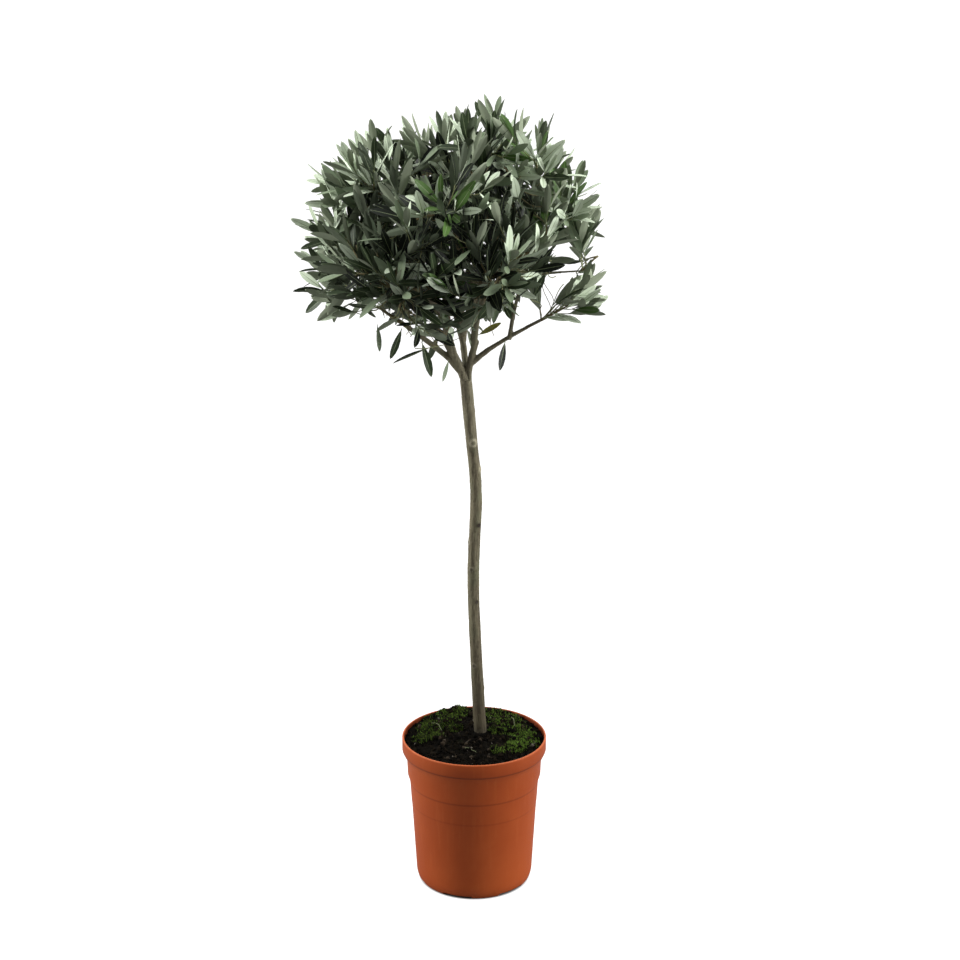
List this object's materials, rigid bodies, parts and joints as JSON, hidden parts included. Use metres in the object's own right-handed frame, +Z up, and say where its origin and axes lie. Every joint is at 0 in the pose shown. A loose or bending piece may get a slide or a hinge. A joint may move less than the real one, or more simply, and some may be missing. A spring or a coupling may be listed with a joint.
{
  "type": "potted olive tree",
  "caption": "Olive tree grown as a standard: an uneven round leafy crown on one slim bare stem, in a tapered round nursery pot of mossy compost.",
  "frame": {"origin": "centre of the flat underside of the pot, on the surface that the plant stands on", "axes": "+Z up along the stem, -Y towards the front of the plant, +X to its right as seen from the front"},
  "size_m": [0.4365, 0.411, 1.1542],
  "materials": {
    "pot_plastic": "satin",
    "compost": "matte",
    "bark": "matte",
    "leaves": "satin"
  },
  "bodies": {
    "root": {"bough_back_left": "bark", "bough_back_right": "bark", "bough_front_left": "bark", "bough_front_right": "bark", "bough_left": "bark", "bough_lower_back": "bark", "bough_lower_front": "bark", "bough_lower_left": "bark", "bough_lower_right": "bark", "bough_outer_right": "bark", "bough_right": "bark", "bough_top": "bark", "bough_upper_back": "bark", "bough_upper_front": "bark", "bough_upper_left": "bark", "bough_upper_right": "bark", "compost": "compost", "foliage_back_left": "leaves", "foliage_back_right": "leaves", "foliage_front_left": "leaves", "foliage_front_right": "leaves", "foliage_left": "leaves", "foliage_lower_back": "leaves", "foliage_lower_front": "leaves", "foliage_lower_left": "leaves", "foliage_lower_right": "leaves", "foliage_outer_right": "leaves", "foliage_right": "leaves", "foliage_top": "leaves", "foliage_upper_back": "leaves", "foliage_upper_front": "leaves", "foliage_upper_left": "leaves", "foliage_upper_right": "leaves", "leader_back": "bark", "leader_left": "bark", "leader_right": "bark", "pot": "pot_plastic", "stem": "bark"}
  },
  "joints": []
}
